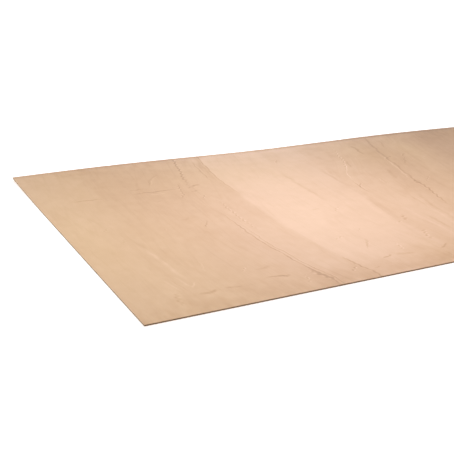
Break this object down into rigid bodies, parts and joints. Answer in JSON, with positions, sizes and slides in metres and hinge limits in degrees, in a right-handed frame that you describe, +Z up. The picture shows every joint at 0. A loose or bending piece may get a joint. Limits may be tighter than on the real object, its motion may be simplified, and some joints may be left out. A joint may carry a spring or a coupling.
{
  "type": "plywood sheet",
  "caption": "Full-size sheet of thin rotary-cut plywood, lying flat, with pale pinkish tan veneer faces and darker sawn edges.",
  "frame": {"origin": "centre of the underside, on the floor that the sheet lies on", "axes": "+X along the sheet, +Y across it from the front long edge to the back one, +Z up out of the top face"},
  "size_m": [2.44, 1.22, 0.0126],
  "materials": {
    "veneer": "smooth sanded bare veneer, satin"
  },
  "bodies": {
    "root": {"plywood_sheet": "veneer"}
  },
  "joints": []
}
